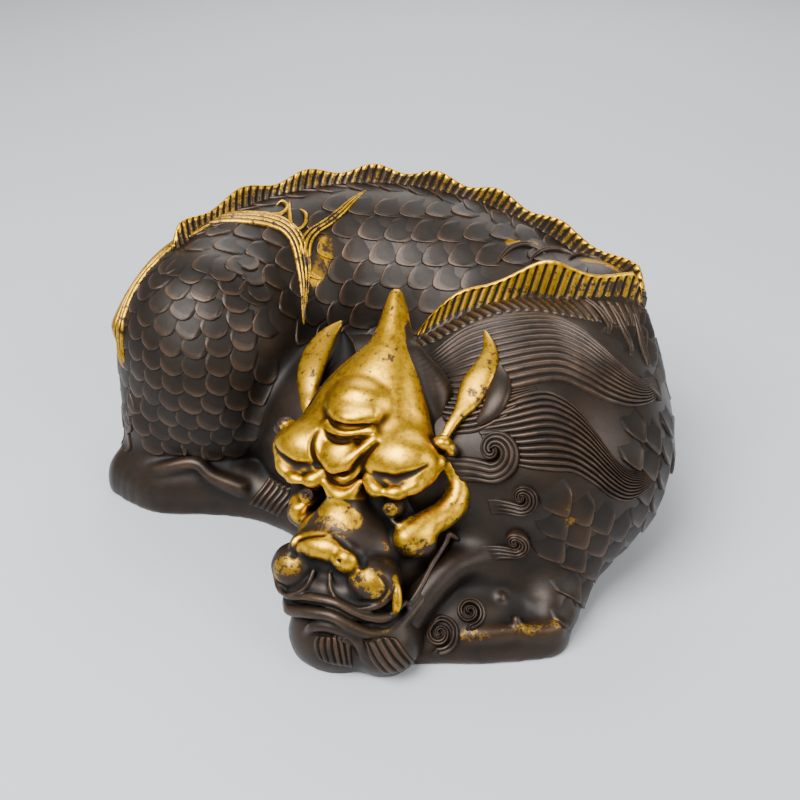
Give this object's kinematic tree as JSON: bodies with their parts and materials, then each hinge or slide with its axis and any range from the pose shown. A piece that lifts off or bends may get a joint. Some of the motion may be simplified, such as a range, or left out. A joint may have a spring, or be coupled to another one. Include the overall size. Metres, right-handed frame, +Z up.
{
  "type": "qilin figure",
  "caption": "Recumbent one-horned qilin cast in dark bronze with worn gilding, its scaled body curled round so that the head rests on the ground in front.",
  "frame": {"origin": "middle of the flat underside", "axes": "+Z up out of the back, the head and the paw to the -Y side, the haunch and tail to the -X side"},
  "size_m": [0.204, 0.2054, 0.0991],
  "materials": {
    "patinated_bronze": "cast bronze with a dark brown chemical patina, rubbed to copper on the raised edges, with worn gilding on the face, the crest and the hip band"
  },
  "bodies": {
    "root": {"qilin": "patinated_bronze"}
  },
  "joints": []
}
